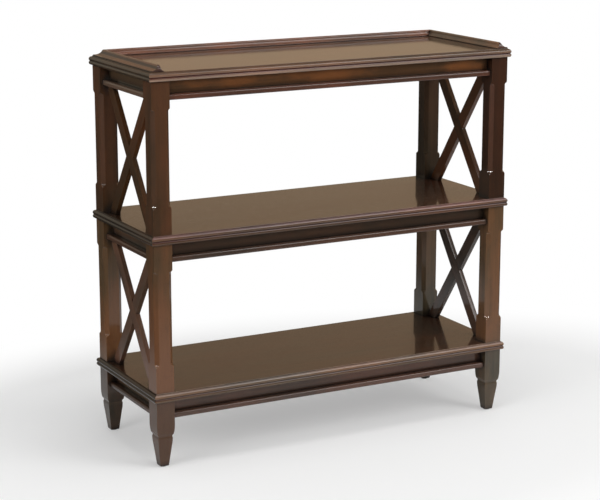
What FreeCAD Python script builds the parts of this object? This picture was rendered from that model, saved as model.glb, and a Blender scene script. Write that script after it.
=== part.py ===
import FreeCAD, Part
import math
import operator
import os
import Sketcher
from FreeCAD import Placement, Rotation, Vector
from types import SimpleNamespace

# Three-tier open table: gallery top, recessed aprons with bead strips, braced ends, tapered feet.
# The origin is the centre of the footprint on the floor: X along the width, -Y to the front, Z up.

doc = FreeCAD.newDocument("accent_table")

# Driving sizes in millimetres, one row each in the sheet: name, value, what it is.
DRIVING_SIZES = [
    ("table_width", 914, "over the shelf edges"),
    ("table_depth", 340, "over the shelf edges"),
    ("shelf_thick", 20, "all three slabs"),
    ("bead_radius", 6, "upper bead of the slab edge"),
    ("quirk_drop", 1.5, "step from the slab's face down to the upper bead"),
    ("notch_depth", 1.8, "groove between the two beads"),
    ("foot_height", 152, "wood of the foot, up to the bottom shelf"),
    ("tier_gap", 332.5, "clear height between two slabs"),
    ("post_width", 42.5, "square posts and foot blocks"),
    ("post_inset", 6.5, "post face behind the slab edge"),
    ("post_chamfer", 8, "leg of the corner chamfers"),
    ("post_block", 56, "unchamfered block at each end of a post"),
    ("tongue_length", 10, "curved stop of a chamfer"),
    ("tongue_radius", 5.5, "each half of the stop's ogee"),
    ("tip_width", 20.2, "foot at the floor"),
    ("tip_bevel", 1, "eased arris round the foot's end"),
    ("swell_height", 48, "where the foot's taper starts to swell"),
    ("swell_width", 31.6, "foot there"),
    ("ankle_height", 67, "top of the foot's lower part"),
    ("ankle_width", 34.8, "foot there"),
    ("neck_width", 33, "bottom of the groove round the ankle"),
    ("neck_height", 3, "flat bottom of that groove"),
    ("neck_flare", 1.4, "rise from the lower part into the groove"),
    ("shoulder_rise", 4.6, "bevel from the groove up to the shoulder"),
    ("shoulder_width", 38.6, "foot above the groove"),
    ("sweep_height", 101, "where the sweep meets the square block"),
    ("sweep_radius", 120, "both gentle curves of the foot"),
    ("apron_height", 42.5, "board and bead strip together"),
    ("strip_height", 13, "bead strip"),
    ("strip_setback", 6, "strip's front behind the post face"),
    ("strip_top_radius", 5, "upper front edge of the strip"),
    ("strip_low_radius", 3.5, "lower front edge of the strip"),
    ("board_recess", 22, "board's face behind the post face"),
    ("brace_width", 28, "brace bar, across its face"),
    ("brace_thick", 11, "brace bar, front to back of the joint"),
    ("rail_inset", 7.5, "gallery behind the slab edge"),
    ("rail_width", 29.5, "gallery moulding at its base"),
    ("rail_height", 14.5, "gallery moulding"),
    ("rail_lip", 2.4, "upright base edge on both sides"),
    ("rail_ledge", 1.6, "flat beside the outer base edge"),
    ("rail_bead_start", 15.5, "outer foot of the top bead"),
    ("rail_bead_radius", 3.5, "half-round bead along the top"),
    ("rail_outer_cove", 17, "radius of the outer hollow"),
    ("rail_inner_cove", 10, "radius of the inner hollow"),
    ("rail_inner_ledge", 2.6, "flat beside the inner base edge"),
    ("rail_setback", 6, "side rails' ends behind the slab's front edge"),
    ("rail_end_run", 9, "how far a rail's end leans back"),
    ("rail_end_radius", 12, "rounding of that end"),
    ("post_dowel_dia", 12, "dowels on the posts' axes"),
    ("post_dowel_depth", 25, "into a post or foot"),
    ("top_dowel_depth", 12, "into the top panel"),
    ("apron_dowel_dia", 8, "board ends"),
    ("apron_dowel_depth", 12, "into each piece"),
    ("brace_dowel_dia", 6, "brace ends"),
    ("brace_dowel_depth", 8, "into each piece"),
    ("brace_dowel_inset", 20.5, "from the post's inner face"),
    ("rail_dowel_dia", 5, "under the gallery"),
    ("rail_dowel_depth", 7, "into each piece"),
    ("rail_dowel_place", 17, "from the rail's outer face"),
    ("glue_gap", 0.1, "round and beyond every dowel"),
    ("corner_block_leg", 45, "glue blocks in the apron corners"),
    ("corner_block_height", 20, ""),
    ("screw_dia", 4, "corner block screws"),
    ("screw_grip", 12, "into the slab"),
    ("screw_head_dia", 8, ""),
    ("screw_head_height", 2.8, ""),
    ("screw_sink", 4, "counterbore in the block"),
    ("glide_dia", 15, "floor glides"),
    ("glide_thick", 1.5, "under the foot"),
    ("nail_dia", 2.2, "pin of the glide"),
    ("nail_length", 12, ""),
    ("overrun", 3, "how far a cut runs past the wood"),
]

# Places that follow a size, as a share of it.
FRONT_DOWEL_SHARE = 0.68
SIDE_DOWEL_SHARE = 0.3
BLOCK_SCREW_SHARE = 0.3
RAIL_DOWEL_SHARES = (-0.42, -0.14, 0.14, 0.42)
SIDE_RAIL_DOWEL_SHARES = (0.22, 0.78)

sheet = doc.addObject("Spreadsheet::Sheet", "Sizes")
for row, (name, value, note) in enumerate(DRIVING_SIZES, start=1):
    sheet.set(f"A{row}", name)
    sheet.set(f"B{row}", str(value))
    sheet.set(f"C{row}", note)
    sheet.setAlias(f"B{row}", name)
doc.recompute()


# A length that knows both its value and its formula in the sheet's names.
class Length:
    def __init__(self, value, formula):
        self.value = value
        self.formula = formula

    def __add__(self, other):
        return joined(self, "+", other)

    def __radd__(self, other):
        return joined(other, "+", self)

    def __sub__(self, other):
        return joined(self, "-", other)

    def __rsub__(self, other):
        return joined(other, "-", self)

    def __mul__(self, other):
        return joined(self, "*", other)

    def __rmul__(self, other):
        return joined(other, "*", self)

    def __truediv__(self, other):
        return joined(self, "/", other)

    def __neg__(self):
        return joined(0, "-", self)


OPERATIONS = {"+": operator.add, "-": operator.sub, "*": operator.mul, "/": operator.truediv}


def asLength(number):
    return number if isinstance(number, Length) else Length(float(number), repr(number))


def joined(left, sign, right):
    left = asLength(left)
    right = asLength(right)
    value = OPERATIONS[sign](left.value, right.value)
    return Length(value, f"({left.formula} {sign} {right.formula})")


def squareRoot(length):
    return Length(math.sqrt(length.value), f"sqrt({length.formula})")


def bind(thing, path, length):
    thing.setExpression(path, asLength(length).formula)


size = SimpleNamespace(**{
    name: Length(float(getattr(sheet, name)), f"Sizes.{name}") for name, _, _ in DRIVING_SIZES
})

# Levels, measured up from the floor.
BOTTOM = size.glide_thick + size.foot_height
MIDDLE = BOTTOM + size.shelf_thick + size.tier_gap
TOP = MIDDLE + size.shelf_thick + size.tier_gap
TIERS = {"bottom": BOTTOM, "middle": MIDDLE, "top": TOP}
BAYS = {"lower": BOTTOM + size.shelf_thick, "upper": MIDDLE + size.shelf_thick}
BAY_HEIGHT = size.tier_gap - size.apron_height

# Places in plan, measured out from the centre.
FACE_X = size.table_width / 2 - size.post_inset
FACE_Y = size.table_depth / 2 - size.post_inset
POST_X = FACE_X - size.post_width / 2
POST_Y = FACE_Y - size.post_width / 2
INNER_X = FACE_X - size.post_width
INNER_Y = FACE_Y - size.post_width
BOARD_HEIGHT = size.apron_height - size.strip_height
BOARD_THICK = size.post_width - size.board_recess

# For each side: which way is out, the turn that brings the front there, and the clear run.
SIDES = {
    "front": ((0, -1), 0, 2 * INNER_X, FACE_Y),
    "right": ((1, 0), 90, 2 * INNER_Y, FACE_X),
    "back": ((0, 1), 180, 2 * INNER_X, FACE_Y),
    "left": ((-1, 0), 270, 2 * INNER_Y, FACE_X),
}
CORNERS = {
    "front_left": (-1, -1),
    "front_right": (1, -1),
    "back_left": (-1, 1),
    "back_right": (1, 1),
}
ENDS = {"left": -1, "right": 1}


def newBody(label, across=0, along=0, up=0, turn=0):
    body = doc.addObject("PartDesign::Body", label)
    body.Label = label
    body.Placement = Placement(Vector(), Rotation(Vector(0, 0, 1), turn))
    bind(body, "Placement.Base.x", across)
    bind(body, "Placement.Base.y", along)
    bind(body, "Placement.Base.z", up)
    return body


def newSketch(body, name, plane, level=0, turn=0):
    sketch = body.newObject("Sketcher::SketchObject", name)
    support = next(f for f in body.Origin.OriginFeatures if f.Role == plane)
    sketch.AttachmentSupport = [(support, "")]
    sketch.MapMode = "FlatFace"
    sketch.AttachmentOffset = Placement(Vector(), Rotation(Vector(0, 1, 0), turn))
    bind(sketch, "AttachmentOffset.Base.z", level)
    return sketch


def fix(sketch, kind, which, length):
    number = sketch.addConstraint(Sketcher.Constraint(kind, *which, asLength(length).value))
    bind(sketch, f"Constraints[{number}]", length)


# The middle of the flatter arc from one point to another, on its left (1) or right (-1) side.
def bulgePoint(start, end, radius, side):
    chord = end - start
    half = chord.Length / 2
    rise = radius - math.sqrt(radius ** 2 - half ** 2)
    outward = Vector(-chord.y, chord.x, 0).normalize()
    return start + chord / 2 + outward * rise * side


# Draws a closed outline. Each corner is (x, y), reached by a line from the one before,
# or (x, y, radius, side), reached by an arc that bulges to the left (1) or right (-1).
def drawOutline(sketch, corners):
    spots = [Vector(asLength(c[0]).value, asLength(c[1]).value, 0) for c in corners]
    stretches = []
    for corner, start, end in zip(corners, spots[-1:] + spots[:-1], spots):
        if len(corner) == 2:
            number = sketch.addGeometry(Part.LineSegment(start, end), False)
            stretches.append((number, 1, 2))
            continue
        radius, side = corner[2:]
        through = bulgePoint(start, end, radius.value, side)
        # an arc always runs anticlockwise, so one that bulges to the left is drawn from its far end
        if side > 0:
            number = sketch.addGeometry(Part.Arc(end, through, start), False)
            stretches.append((number, 2, 1))
        else:
            number = sketch.addGeometry(Part.Arc(start, through, end), False)
            stretches.append((number, 1, 2))
        fix(sketch, "Radius", (number,), radius)
    for corner, this, following in zip(corners, stretches, stretches[1:] + stretches[:1]):
        meeting = Sketcher.Constraint("Coincident", this[0], this[2], following[0], following[1])
        sketch.addConstraint(meeting)
        fix(sketch, "DistanceX", (-1, 1, this[0], this[2]), corner[0])
        fix(sketch, "DistanceY", (-1, 1, this[0], this[2]), corner[1])


def drawCircles(sketch, centres, diameter):
    for x, y in centres:
        middle = Vector(asLength(x).value, asLength(y).value, 0)
        circle = Part.Circle(middle, Vector(0, 0, 1), asLength(diameter).value / 2)
        number = sketch.addGeometry(circle, False)
        fix(sketch, "Diameter", (number,), diameter)
        fix(sketch, "DistanceX", (-1, 1, number, 3), x)
        fix(sketch, "DistanceY", (-1, 1, number, 3), y)


def rectangle(low_x, low_y, high_x, high_y):
    return [(low_x, low_y), (high_x, low_y), (high_x, high_y), (low_x, high_y)]


def pad(body, sketch, length, symmetric=False, backward=False):
    feature = body.newObject("PartDesign::Pad", "Pad")
    feature.Profile = sketch
    feature.SideType = "Symmetric" if symmetric else "One side"
    feature.Reversed = backward
    bind(feature, "Length", length)
    body.Tip = feature
    return feature


# Cuts against the sketch's normal, or along it if backward, or both ways with no depth.
def pocket(body, sketch, depth=None, backward=False):
    feature = body.newObject("PartDesign::Pocket", "Pocket")
    feature.Profile = sketch
    feature.Reversed = backward
    if depth is None:
        feature.SideType = "Symmetric"
        feature.Type = "ThroughAll"
    else:
        bind(feature, "Length", depth)
    body.Tip = feature
    return feature


# Repeats a cut round the body's upright axis.
def aroundAxis(body, cut, times):
    pattern = body.newObject("PartDesign::PolarPattern", "Around")
    pattern.Originals = [cut]
    axis = next(f for f in body.Origin.OriginFeatures if f.Role == "Z_Axis")
    pattern.Axis = (axis, [""])
    pattern.Angle = 360
    pattern.Occurrences = times
    body.Tip = pattern


def drill(body, name, plane, level, centres, dowel, depth, backward=False):
    holes = newSketch(body, name, plane, level)
    drawCircles(holes, centres, dowel + 2 * size.glue_gap)
    pocket(body, holes, depth + size.glue_gap, backward)


# Everything outside the slab's edge moulding, for one edge at this distance from the middle.
def edgeWaste(edge):
    bead = size.bead_radius
    step = edge - bead
    quirk = size.shelf_thick - size.quirk_drop
    widest = quirk - bead
    groove = edge - size.notch_depth
    reach = bead - size.notch_depth
    groove_height = widest - squareRoot(bead * bead - reach * reach)
    half = groove_height / 2
    low_radius = (size.notch_depth * size.notch_depth + half * half) / (2 * size.notch_depth)
    outside = edge + 2 * size.overrun
    above = size.shelf_thick + size.overrun
    return [
        (step, above),
        (step, quirk),
        (edge, widest, bead, 1),
        (groove, groove_height, bead, 1),
        (groove, 0, low_radius, 1),
        (groove, -size.overrun),
        (outside, -size.overrun),
        (outside, above),
    ]


def fourCorners(across, along):
    return [(across * sx, along * sy) for sx, sy in CORNERS.values()]


# One slab with its moulded edge: the blank is oversize and all four edges are moulded away.
def makeSlab(tier, label):
    slab = newBody(label, up=TIERS[tier])
    blank = newSketch(slab, "BlankOutline", "XY_Plane")
    half_x = size.table_width / 2 + size.overrun
    half_y = size.table_depth / 2 + size.overrun
    drawOutline(blank, rectangle(-half_x, -half_y, half_x, half_y))
    pad(slab, blank, size.shelf_thick)
    for plane, edge in (("XZ_Plane", size.table_width / 2), ("YZ_Plane", size.table_depth / 2)):
        waste = newSketch(slab, "EdgeWaste", plane)
        drawOutline(waste, edgeWaste(edge))
        aroundAxis(slab, pocket(slab, waste), 2)
    posts = fourCorners(POST_X, POST_Y)
    if tier == "top":
        drill(slab, "PostHoles", "XY_Plane", 0, posts, size.post_dowel_dia, size.top_dowel_depth, True)
        drill(slab, "RailHoles", "XY_Plane", size.shelf_thick, railDowelPlaces(),
              size.rail_dowel_dia, size.rail_dowel_depth)
    else:
        drill(slab, "PostHoles", "XY_Plane", 0, posts, size.post_dowel_dia, size.shelf_thick, True)
        braces = fourCorners(POST_X, INNER_Y - size.brace_dowel_inset)
        drill(slab, "BraceHoles", "XY_Plane", size.shelf_thick, braces,
              size.brace_dowel_dia, size.brace_dowel_depth)
    drill(slab, "ScrewHoles", "XY_Plane", 0, blockScrewPlaces(), size.screw_dia, size.screw_grip, True)


def blockScrewPlaces():
    lean = size.corner_block_leg * BLOCK_SCREW_SHARE
    return fourCorners(INNER_X - lean, INNER_Y - lean)


def railDowelPlaces():
    line_x = size.table_width / 2 - size.rail_inset - size.rail_dowel_place
    line_y = size.table_depth / 2 - size.rail_inset - size.rail_dowel_place
    places = [(size.table_width * share, line_y) for share in RAIL_DOWEL_SHARES]
    front = size.rail_setback - size.table_depth / 2
    run = size.table_depth - size.rail_setback - size.rail_inset - size.rail_width
    for sign in ENDS.values():
        places += [(line_x * sign, front + run * share) for share in SIDE_RAIL_DOWEL_SHARES]
    return places


# Holes for the apron dowels, in the two inner faces at the top of a post or foot.
def drillForAprons(body, length, corner):
    sign_x, sign_y = CORNERS[corner]
    middle = (size.post_width - BOARD_THICK) / 2
    base = length - BOARD_HEIGHT
    face = size.post_width / 2
    drill(body, "BoardHole", "YZ_Plane", -face * sign_x,
          [(-middle * sign_y, base + BOARD_HEIGHT * FRONT_DOWEL_SHARE)],
          size.apron_dowel_dia, size.apron_dowel_depth, sign_x > 0)
    drill(body, "SideBoardHole", "XZ_Plane", face * sign_y,
          [(-middle * sign_x, base + BOARD_HEIGHT * SIDE_DOWEL_SHARE)],
          size.apron_dowel_dia, size.apron_dowel_depth, sign_y < 0)


# A post between two slabs: chamfered corners that end in curved stops short of both blocks.
def makePost(bay, corner):
    sign_x, sign_y = CORNERS[corner]
    post = newBody(f"{bay}_post_{corner}", POST_X * sign_x, POST_Y * sign_y, BAYS[bay])
    half = size.post_width / 2
    blank = newSketch(post, "PostSquare", "XY_Plane")
    drawOutline(blank, rectangle(-half, -half, half, half))
    pad(post, blank, size.tier_gap)

    diagonal = half * math.sqrt(2)
    depth = size.post_chamfer / math.sqrt(2)
    radius = size.tongue_radius
    outside = diagonal + size.overrun
    low = size.post_block
    low_end = low + size.tongue_length
    high = size.tier_gap - size.post_block
    high_end = high - size.tongue_length
    chamfer = newSketch(post, "ChamferWaste", "XZ_Plane", turn=45)
    drawOutline(chamfer, [
        (outside, low),
        (outside, high),
        (diagonal, high),
        (diagonal - depth / 2, (high + high_end) / 2, radius, 1),
        (diagonal - depth, high_end, radius, -1),
        (diagonal - depth, low_end),
        (diagonal - depth / 2, (low + low_end) / 2, radius, -1),
        (diagonal, low, radius, 1),
    ])
    aroundAxis(post, pocket(post, chamfer), 4)
    for level, upward in ((0, True), (size.tier_gap, False)):
        drill(post, "DowelHole", "XY_Plane", level, [(0, 0)],
              size.post_dowel_dia, size.post_dowel_depth, upward)
    drillForAprons(post, size.tier_gap, corner)


# A foot: square block, convex sweep to a shoulder, groove round the ankle, tapered lower part.
def makeFoot(corner):
    sign_x, sign_y = CORNERS[corner]
    foot = newBody(f"foot_{corner}", POST_X * sign_x, POST_Y * sign_y, size.glide_thick)
    half = size.post_width / 2
    blank = newSketch(foot, "FootSquare", "XY_Plane")
    drawOutline(blank, rectangle(-half, -half, half, half))
    pad(foot, blank, size.foot_height)

    outside = half + size.overrun
    neck_low = size.ankle_height + size.neck_flare
    neck_high = neck_low + size.neck_height
    waste = newSketch(foot, "TaperWaste", "XZ_Plane")
    drawOutline(waste, [
        (outside, size.sweep_height),
        (half, size.sweep_height),
        (size.shoulder_width / 2, neck_high + size.shoulder_rise, size.sweep_radius, 1),
        (size.neck_width / 2, neck_high),
        (size.neck_width / 2, neck_low),
        (size.ankle_width / 2, size.ankle_height),
        (size.swell_width / 2, size.swell_height, size.sweep_radius, 1),
        (size.tip_width / 2, size.tip_bevel),
        (size.tip_width / 2 - size.tip_bevel, 0),
        (size.tip_width / 2 - size.tip_bevel, -size.overrun),
        (outside, -size.overrun),
    ])
    aroundAxis(foot, pocket(foot, waste), 4)
    drill(foot, "DowelHole", "XY_Plane", size.foot_height, [(0, 0)],
          size.post_dowel_dia, size.post_dowel_depth)
    drill(foot, "NailHole", "XY_Plane", 0, [(0, 0)], size.nail_dia, size.nail_length, True)
    drillForAprons(foot, size.foot_height, corner)


# Where a side's apron piece goes: its front face this far behind the post face.
def apronPlace(side, setback):
    out, turn, run, face = SIDES[side]
    distance = face - setback
    return distance * out[0], distance * out[1], turn, run


def makeBoard(tier, side):
    across, along, turn, run = apronPlace(side, size.board_recess)
    base = TIERS[tier] - BOARD_HEIGHT
    board = newBody(f"apron_board_{tier}_{side}", across, along, base, turn)
    section = newSketch(board, "BoardSection", "YZ_Plane")
    drawOutline(section, rectangle(0, 0, BOARD_THICK, BOARD_HEIGHT))
    pad(board, section, run, symmetric=True)
    share = FRONT_DOWEL_SHARE if side in ("front", "back") else SIDE_DOWEL_SHARE
    place = [(BOARD_THICK / 2, BOARD_HEIGHT * share)]
    for sign in ENDS.values():
        drill(board, "DowelHole", "YZ_Plane", run / 2 * sign, place,
              size.apron_dowel_dia, size.apron_dowel_depth, sign < 0)


# The strip under a board: rounded nose in front, its back flush with the posts' inner faces.
def makeStrip(tier, side):
    across, along, turn, run = apronPlace(side, size.strip_setback)
    base = TIERS[tier] - size.apron_height
    strip = newBody(f"bead_strip_{tier}_{side}", across, along, base, turn)
    deep = size.post_width - size.strip_setback
    low = size.strip_low_radius
    high = size.strip_top_radius
    section = newSketch(strip, "StripSection", "YZ_Plane")
    drawOutline(section, [
        (0, size.strip_height - high, high, -1),
        (0, low),
        (low, 0, low, -1),
        (deep, 0),
        (deep, size.strip_height),
        (high, size.strip_height),
    ])
    pad(strip, section, run, symmetric=True)
    if tier != "bottom" and side in ENDS:
        inward = size.post_width / 2 - size.strip_setback
        place = INNER_Y - size.brace_dowel_inset
        drill(strip, "BraceHoles", "XY_Plane", 0, [(-place, inward), (place, inward)],
              size.brace_dowel_dia, size.brace_dowel_depth, True)


# The outline of a bar that rises from one post's foot to the other post's apron.
# Its two long edges are parallel, one bar width apart, and its ends are cut level.
def drawBar(sketch, rising):
    corner = INNER_Y.value
    top = BAY_HEIGHT.value
    cut = size.brace_width.value * math.hypot(2 * corner, top) / top
    spots = [(-corner, 0), (cut - corner, 0), (corner, top), (corner - cut, top)]
    points = [Vector(x * rising, y, 0) for x, y in spots]
    lines = [sketch.addGeometry(Part.LineSegment(a, b), False)
             for a, b in zip(points, points[1:] + points[:1])]
    for this, following in zip(lines, lines[1:] + lines[:1]):
        sketch.addConstraint(Sketcher.Constraint("Coincident", this, 2, following, 1))
    bottom, right, level, left = lines
    sketch.addConstraint(Sketcher.Constraint("Horizontal", bottom))
    sketch.addConstraint(Sketcher.Constraint("Horizontal", level))
    sketch.addConstraint(Sketcher.Constraint("Parallel", right, left))
    fix(sketch, "DistanceX", (-1, 1, bottom, 1), -INNER_Y * rising)
    fix(sketch, "DistanceY", (-1, 1, bottom, 1), 0)
    fix(sketch, "DistanceX", (-1, 1, level, 1), INNER_Y * rising)
    fix(sketch, "DistanceY", (-1, 1, level, 1), BAY_HEIGHT)
    fix(sketch, "Distance", (bottom, 1, right), size.brace_width)


# One bar of a brace, halved on one side where the other bar crosses it.
def makeBar(bay, end, label, rising):
    bar = newBody(f"brace_{bay}_{end}_{label}", POST_X * ENDS[end], 0, BAYS[bay])
    face = newSketch(bar, "BarOutline", "YZ_Plane")
    drawBar(face, rising)
    pad(bar, face, size.brace_thick, symmetric=True)
    crossing = newSketch(bar, "CrossingBar", "YZ_Plane")
    drawBar(crossing, -rising)
    pocket(bar, crossing, size.brace_thick, backward=rising > 0)
    place = INNER_Y - size.brace_dowel_inset
    drill(bar, "FootHole", "XY_Plane", 0, [(0, -place * rising)],
          size.brace_dowel_dia, size.brace_dowel_depth, True)
    drill(bar, "HeadHole", "XY_Plane", BAY_HEIGHT, [(0, place * rising)],
          size.brace_dowel_dia, size.brace_dowel_depth)


# The gallery moulding: hollow outside, half-round bead along the top, hollow inside.
def railSection(sign):
    lip = size.rail_lip
    shoulder = size.rail_height - size.rail_bead_radius
    bead_end = size.rail_bead_start + 2 * size.rail_bead_radius
    inner_ledge = size.rail_width - size.rail_inner_ledge
    bead_middle = size.rail_bead_start + size.rail_bead_radius
    return [
        (0, 0),
        (0, lip),
        (size.rail_ledge * sign, lip),
        (size.rail_bead_start * sign, shoulder, size.rail_outer_cove, -sign),
        (bead_middle * sign, size.rail_height, size.rail_bead_radius, sign),
        (bead_end * sign, shoulder, size.rail_bead_radius, sign),
        (inner_ledge * sign, lip, size.rail_inner_cove, -sign),
        (size.rail_width * sign, lip),
        (size.rail_width * sign, 0),
    ]


# What a mitre takes off: the outer corner is at (end, 0), the cut runs inward at 45 degrees.
def mitreWaste(end, sign):
    over = size.overrun
    inner = size.rail_width + over
    return [
        (end + over * sign, over),
        (end - inner * sign, -inner),
        (end + over * sign, -inner),
    ]


RAIL_RUN_BACK = size.table_width - 2 * size.rail_inset
RAIL_RUN_SIDE = size.table_depth - size.rail_inset - size.rail_setback


def makeBackRail():
    back = size.table_depth / 2 - size.rail_inset
    rail = newBody("gallery_rail_back", 0, back, TOP + size.shelf_thick)
    section = newSketch(rail, "RailSection", "YZ_Plane")
    drawOutline(section, railSection(-1))
    pad(rail, section, RAIL_RUN_BACK, symmetric=True)
    mitres = newSketch(rail, "MitreWaste", "XY_Plane")
    drawOutline(mitres, mitreWaste(RAIL_RUN_BACK / 2, 1))
    drawOutline(mitres, mitreWaste(-RAIL_RUN_BACK / 2, -1))
    pocket(rail, mitres)
    places = [(size.table_width * share, -size.rail_dowel_place) for share in RAIL_DOWEL_SHARES]
    drill(rail, "DowelHoles", "XY_Plane", 0, places, size.rail_dowel_dia, size.rail_dowel_depth, True)


# A side rail runs back from its front end, where it leans back in a quarter round.
def makeSideRail(end):
    inward = -ENDS[end]
    outer = size.table_width / 2 - size.rail_inset
    front = size.rail_setback - size.table_depth / 2
    rail = newBody(f"gallery_rail_{end}", outer * ENDS[end], front, TOP + size.shelf_thick)
    section = newSketch(rail, "RailSection", "XZ_Plane")
    drawOutline(section, railSection(inward))
    pad(rail, section, RAIL_RUN_SIDE, backward=True)
    over = size.overrun
    inner = size.rail_width + over
    mitre = newSketch(rail, "MitreWaste", "XY_Plane")
    drawOutline(mitre, [
        (-over * inward, RAIL_RUN_SIDE + over),
        (inner * inward, RAIL_RUN_SIDE - inner),
        (inner * inward, RAIL_RUN_SIDE + over),
    ])
    pocket(rail, mitre)
    nose = newSketch(rail, "NoseWaste", "YZ_Plane")
    drawOutline(nose, [
        (-over, size.rail_lip),
        (0, size.rail_lip),
        (size.rail_end_run, size.rail_height, size.rail_end_radius, 1),
        (size.rail_end_run, size.rail_height + over),
        (-over, size.rail_height + over),
    ])
    pocket(rail, nose)
    run = RAIL_RUN_SIDE - size.rail_width
    places = [(size.rail_dowel_place * inward, run * share) for share in SIDE_RAIL_DOWEL_SHARES]
    drill(rail, "DowelHoles", "XY_Plane", 0, places, size.rail_dowel_dia, size.rail_dowel_depth, True)


# Round pins or dowels of one group, all centred on a plane at this level.
def addDowels(body, plane, level, centres, diameter, depth):
    circles = newSketch(body, "DowelCircles", plane, level)
    drawCircles(circles, centres, diameter)
    pad(body, circles, 2 * depth, symmetric=True)


def makePostDowels():
    dowels = newBody("post_dowels")
    places = fourCorners(POST_X, POST_Y)
    for level in (BOTTOM, MIDDLE):
        circles = newSketch(dowels, "DowelCircles", "XY_Plane", level - size.post_dowel_depth)
        drawCircles(circles, places, size.post_dowel_dia)
        pad(dowels, circles, size.shelf_thick + 2 * size.post_dowel_depth)
    circles = newSketch(dowels, "DowelCircles", "XY_Plane", TOP - size.post_dowel_depth)
    drawCircles(circles, places, size.post_dowel_dia)
    pad(dowels, circles, size.post_dowel_depth + size.top_dowel_depth)


def makeApronDowels():
    dowels = newBody("apron_dowels")
    line_x = FACE_X - size.board_recess - BOARD_THICK / 2
    line_y = FACE_Y - size.board_recess - BOARD_THICK / 2
    for sign in ENDS.values():
        ends = []
        sides = []
        for under in TIERS.values():
            front_level = under - BOARD_HEIGHT + BOARD_HEIGHT * FRONT_DOWEL_SHARE
            side_level = under - BOARD_HEIGHT + BOARD_HEIGHT * SIDE_DOWEL_SHARE
            ends += [(-line_y, front_level), (line_y, front_level)]
            sides += [(-line_x, side_level), (line_x, side_level)]
        addDowels(dowels, "YZ_Plane", INNER_X * sign, ends, size.apron_dowel_dia, size.apron_dowel_depth)
        addDowels(dowels, "XZ_Plane", INNER_Y * sign, sides, size.apron_dowel_dia, size.apron_dowel_depth)


def makeBraceDowels():
    dowels = newBody("brace_dowels")
    places = fourCorners(POST_X, INNER_Y - size.brace_dowel_inset)
    for floor in BAYS.values():
        for level in (floor, floor + BAY_HEIGHT):
            addDowels(dowels, "XY_Plane", level, places, size.brace_dowel_dia, size.brace_dowel_depth)


def makeRailDowels():
    dowels = newBody("gallery_dowels")
    addDowels(dowels, "XY_Plane", TOP + size.shelf_thick, railDowelPlaces(),
              size.rail_dowel_dia, size.rail_dowel_depth)


# Four three-cornered glue blocks under one slab, bored and counterbored for a screw each.
def makeCornerBlocks(tier):
    blocks = newBody(f"corner_blocks_{tier}", up=TIERS[tier] - size.corner_block_height)
    outline = newSketch(blocks, "BlockOutlines", "XY_Plane")
    for sign_x, sign_y in CORNERS.values():
        drawOutline(outline, [
            (INNER_X * sign_x, INNER_Y * sign_y),
            ((INNER_X - size.corner_block_leg) * sign_x, INNER_Y * sign_y),
            (INNER_X * sign_x, (INNER_Y - size.corner_block_leg) * sign_y),
        ])
    pad(blocks, outline, size.corner_block_height)
    places = blockScrewPlaces()
    drill(blocks, "ScrewHoles", "XY_Plane", 0, places, size.screw_dia, size.corner_block_height, True)
    drill(blocks, "HeadHoles", "XY_Plane", 0, places, size.screw_head_dia, size.screw_sink, True)


def makeBlockScrews():
    screws = newBody("corner_block_screws")
    places = blockScrewPlaces()
    for under in TIERS.values():
        seat = under - size.corner_block_height + size.screw_sink + size.glue_gap
        shank = newSketch(screws, "Shanks", "XY_Plane", seat)
        drawCircles(shank, places, size.screw_dia)
        pad(screws, shank, size.corner_block_height - size.screw_sink + size.screw_grip - size.glue_gap)
        head = newSketch(screws, "Heads", "XY_Plane", seat)
        drawCircles(head, places, size.screw_head_dia)
        pad(screws, head, size.screw_head_height, backward=True)


def makeGlides():
    glides = newBody("floor_glides")
    places = fourCorners(POST_X, POST_Y)
    disc = newSketch(glides, "Discs", "XY_Plane")
    drawCircles(disc, places, size.glide_dia)
    pad(glides, disc, size.glide_thick)
    nail = newSketch(glides, "Nails", "XY_Plane", size.glide_thick)
    drawCircles(nail, places, size.nail_dia)
    pad(glides, nail, size.nail_length)


for corner in CORNERS:
    makeFoot(corner)
    for bay in BAYS:
        makePost(bay, corner)
makeSlab("bottom", "bottom_shelf")
makeSlab("middle", "middle_shelf")
makeSlab("top", "top_panel")
for tier in TIERS:
    for side in SIDES:
        makeBoard(tier, side)
        makeStrip(tier, side)
    makeCornerBlocks(tier)
for bay in BAYS:
    for end in ENDS:
        makeBar(bay, end, "to_back", 1)
        makeBar(bay, end, "to_front", -1)
makeBackRail()
for end in ENDS:
    makeSideRail(end)
makePostDowels()
makeApronDowels()
makeBraceDowels()
makeRailDowels()
makeBlockScrews()
makeGlides()
doc.recompute()

# Nothing is written unless every feature came out sound and every cut took wood away.
bodies = [thing for thing in doc.Objects if thing.TypeId == "PartDesign::Body"]
faults = [thing.Label for thing in doc.Objects if {"Invalid", "Error"} & set(thing.State)]
faults += [body.Label for body in bodies if body.Shape.isNull() or not body.Shape.isValid()]
if not faults:
    cuts = [thing for thing in doc.Objects if thing.TypeId == "PartDesign::Pocket"]
    faults += [cut.Label for cut in cuts if cut.Shape.Volume >= cut.BaseFeature.Shape.Volume]
if faults:
    raise RuntimeError("unsound or idle: " + ", ".join(faults))

os.makedirs("parts", exist_ok=True)
for body in bodies:
    body.Shape.exportStep(f"parts/{body.Label}.step")
print(f"{len(bodies)} sub-parts, {sum(len(body.Shape.Solids) for body in bodies)} solids")
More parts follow.
